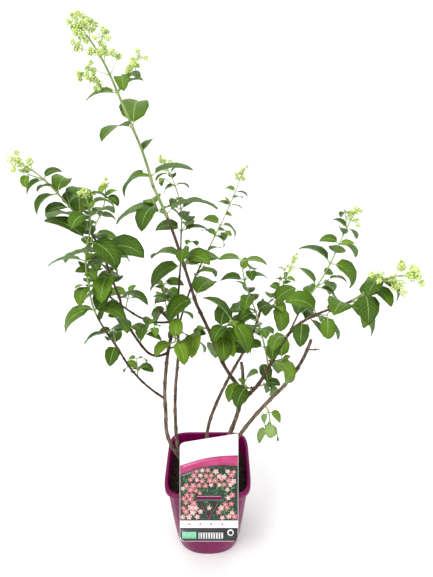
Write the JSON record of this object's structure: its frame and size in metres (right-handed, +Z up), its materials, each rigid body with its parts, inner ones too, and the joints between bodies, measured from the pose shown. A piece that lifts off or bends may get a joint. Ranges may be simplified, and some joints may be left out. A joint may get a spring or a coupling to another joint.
{
  "type": "potted panicle hydrangea",
  "caption": "Open many-stemmed flowering shrub with opposite leaves and pointed lime flower sprays, in a deep rounded-square pot with a hooked tag.",
  "frame": {"origin": "middle of the pot's flat underside", "axes": "+Z up the plant; -Y is the side that the label faces, and +X is to the right as the plant is looked at from there"},
  "size_m": [0.5954, 0.5454, 1.1975],
  "materials": {
    "pot": "deep magenta moulded plastic",
    "label": "printed white plastic tag",
    "soil": "dark crumbly peat",
    "bark": "grey-brown bark",
    "foliage": "mid-green leaves, green shoots and lime flower buds"
  },
  "bodies": {
    "root": {"pot": "pot", "soil": "soil", "label": "label", "stem_left": "bark", "stem_left_inner": "bark", "stem_back": "bark", "stem_right": "bark", "stem_low_right": "bark", "bough_tall": "bark", "bough_right": "bark", "bough_left_low": "bark", "bough_left": "bark", "bough_left_back": "bark", "bough_centre": "bark", "bough_centre_right": "bark", "dead_twig_left": "bark", "dead_twig_right": "bark", "dead_twig_low": "bark", "curled_twig": "bark", "tall_shoot": "foliage", "tall_top": "foliage", "left_low_shoot": "foliage", "left_leaves": "foliage", "left_shoot": "foliage", "left_back_shoot": "foliage", "centre_tuft": "foliage", "centre_shoot": "foliage", "centre_right_shoot": "foliage", "back_shoot": "foliage", "inner_shoot": "foliage", "right_shoot": "foliage", "right_upper_shoot": "foliage", "tall_side_shoot": "foliage", "low_right_tuft": "foliage", "left_low_tuft": "foliage", "left_tuft": "foliage", "left_tuft_high": "foliage", "left_back_tuft": "foliage", "stem_tuft": "foliage", "stem_top_tuft": "foliage", "inner_stem_tuft": "foliage", "tall_low_tuft": "foliage", "right_low_tuft": "foliage", "right_foot_tuft": "foliage", "right_tuft": "foliage", "right_tuft_high": "foliage", "back_tuft": "foliage", "back_tuft_right": "foliage"}
  },
  "joints": []
}
